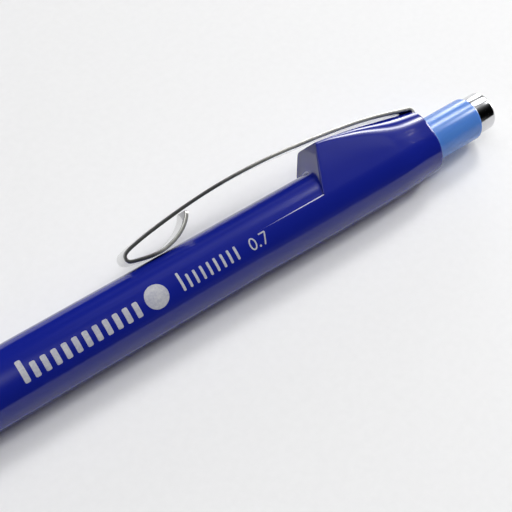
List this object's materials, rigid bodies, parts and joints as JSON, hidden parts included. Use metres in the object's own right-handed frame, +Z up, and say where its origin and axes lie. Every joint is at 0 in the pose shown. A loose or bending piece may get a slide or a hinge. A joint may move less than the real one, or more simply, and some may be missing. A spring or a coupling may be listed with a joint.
{
  "type": "mechanical pencil",
  "caption": "Retractable push-button pencil with a round barrel, hooded spring clip, three-sided rubber grip, metal nose cone, lead mechanism and capped eraser.",
  "frame": {"origin": "middle of the bounding box on the table plane, with the pencil lying on a flat of its grip", "axes": "+X along the pencil from the writing tip to the button cap, +Z up from the table, +Y to the side the clip leans to"},
  "size_m": [0.143, 0.0142, 0.0112],
  "materials": {
    "barrel": "polished blue moulding",
    "clip_steel": "bright rolled spring steel",
    "grip_rubber": "matt dark blue rubber",
    "cone_metal": "satin turned metal",
    "pipe_steel": "bright steel tube",
    "brass_parts": "turned brass",
    "black_rubber": "soft black rubber",
    "graphite": "dark polymer graphite",
    "white_plastic": "plain white plastic",
    "spring_steel": "bright drawn wire",
    "tube_plastic": "milky translucent tube",
    "button_plastic": "glossy light blue plastic",
    "eraser_rubber": "soft white eraser",
    "cap_chrome": "bright chrome plating"
  },
  "bodies": {
    "body": {"barrel": "barrel", "grip_sleeve": "grip_rubber", "front_cone": "cone_metal", "chuck_housing": "white_plastic", "return_spring": "spring_steel"},
    "button": {"push_button": "button_plastic", "lead_reservoir": "tube_plastic", "chuck_connector": "white_plastic", "chuck": "brass_parts", "spare_lead_1": "graphite", "spare_lead_2": "graphite", "spare_lead_3": "graphite"},
    "ring": {"clutch_ring": "brass_parts"},
    "lead": {"lead": "graphite"},
    "pipe": {"guide_pipe": "pipe_steel", "pipe_holder": "brass_parts", "lead_retainer": "black_rubber"},
    "cap": {"button_cap": "cap_chrome"},
    "eraser": {"eraser": "eraser_rubber", "eraser_holder": "white_plastic"},
    "clip": {"clip": "clip_steel"}
  },
  "joints": [
    {"name": "button_press", "type": "slide", "parent": "body", "child": "button", "axis": [-1, 0, 0], "range_m": [0, 0.0035], "stiffness_N_per_m": 800, "springref_m": -0.002, "deforming": ["return_spring"]},
    {"name": "ring_follow", "type": "slide", "parent": "body", "child": "ring", "axis": [-1, 0, 0], "range_m": [0, 0.0008]},
    {"name": "lead_feed", "type": "slide", "parent": "body", "child": "lead", "axis": [-1, 0, 0], "range_m": [0, 0.0008]},
    {"name": "pipe_retract", "type": "slide", "parent": "body", "child": "pipe", "axis": [1, 0, 0], "range_m": [0, 0.0025]},
    {"name": "cap_pull", "type": "slide", "parent": "button", "child": "cap", "axis": [1, 0, 0], "range_m": [0, 0.016]},
    {"name": "eraser_pull", "type": "slide", "parent": "button", "child": "eraser", "axis": [1, 0, 0], "range_m": [0, 0.008]},
    {"name": "clip_flex", "type": "hinge", "parent": "body", "child": "clip", "pos_m": [0.0574, 0.0021, 0.00695], "axis": [0, 0.5, -0.866], "range_deg": [0, 4], "stiffness_Nm_per_rad": 3}
  ],
  "couplings": [
    {"joint": "ring_follow", "follows": "button_press", "ratio": 0.2},
    {"joint": "lead_feed", "follows": "button_press", "ratio": 0.2},
    {"joint": "eraser_pull", "follows": "cap_pull", "ratio": 0.5}
  ]
}
